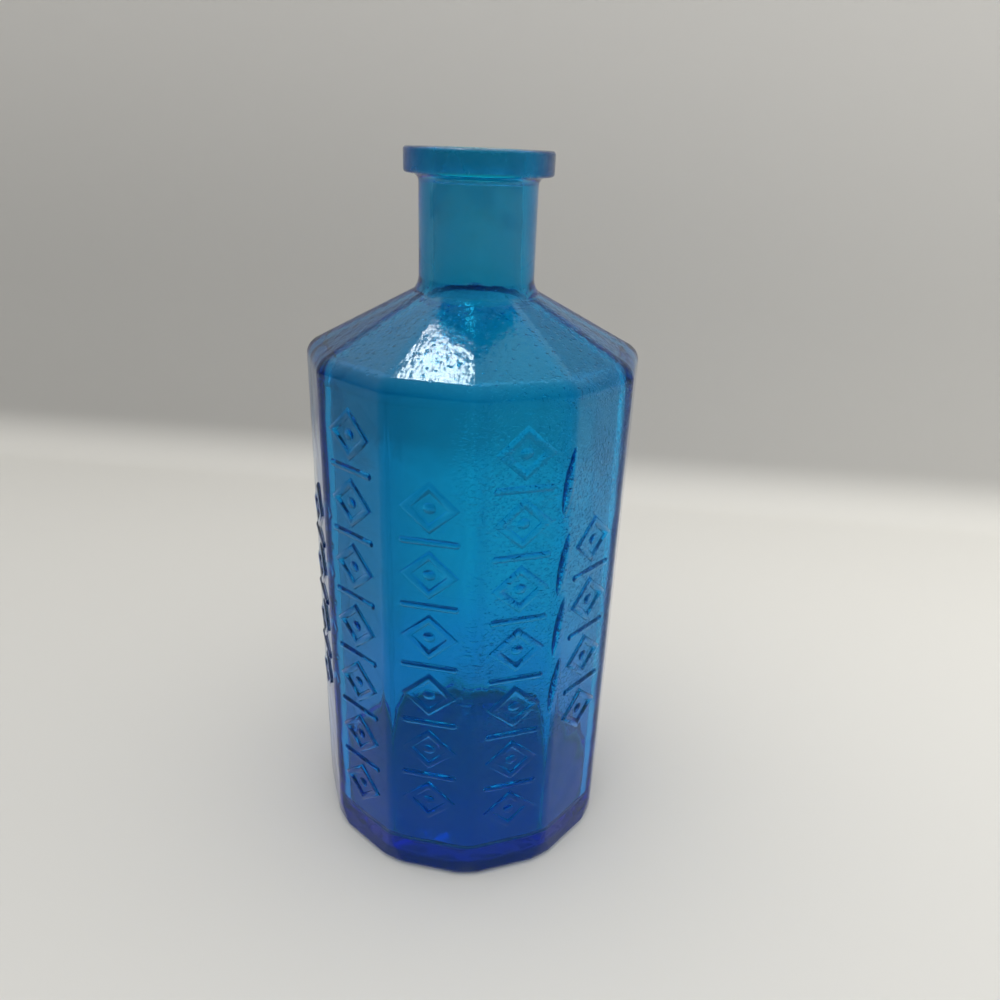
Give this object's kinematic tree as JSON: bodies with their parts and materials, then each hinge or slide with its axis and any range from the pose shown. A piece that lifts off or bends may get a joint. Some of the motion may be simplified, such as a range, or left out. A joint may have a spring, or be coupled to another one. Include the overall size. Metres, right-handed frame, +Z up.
{
  "type": "bitters bottle",
  "caption": "Tall panelled bitters bottle of blue glass with a sloping faceted shoulder, a round neck, a flat collared lip and an open mouth.",
  "frame": {"origin": "centre of the foot, on the surface that the bottle stands on", "axes": "+Z up the bottle's axis to the mouth, -Y out of the front panel, +X to the right of it"},
  "size_m": [0.0844, 0.0851, 0.19],
  "materials": {
    "blue_glass": "clear azure glass, glossy, slightly wavy from the mould"
  },
  "bodies": {
    "root": {"bottle_body": "blue_glass", "lip_ring": "blue_glass"}
  },
  "joints": []
}
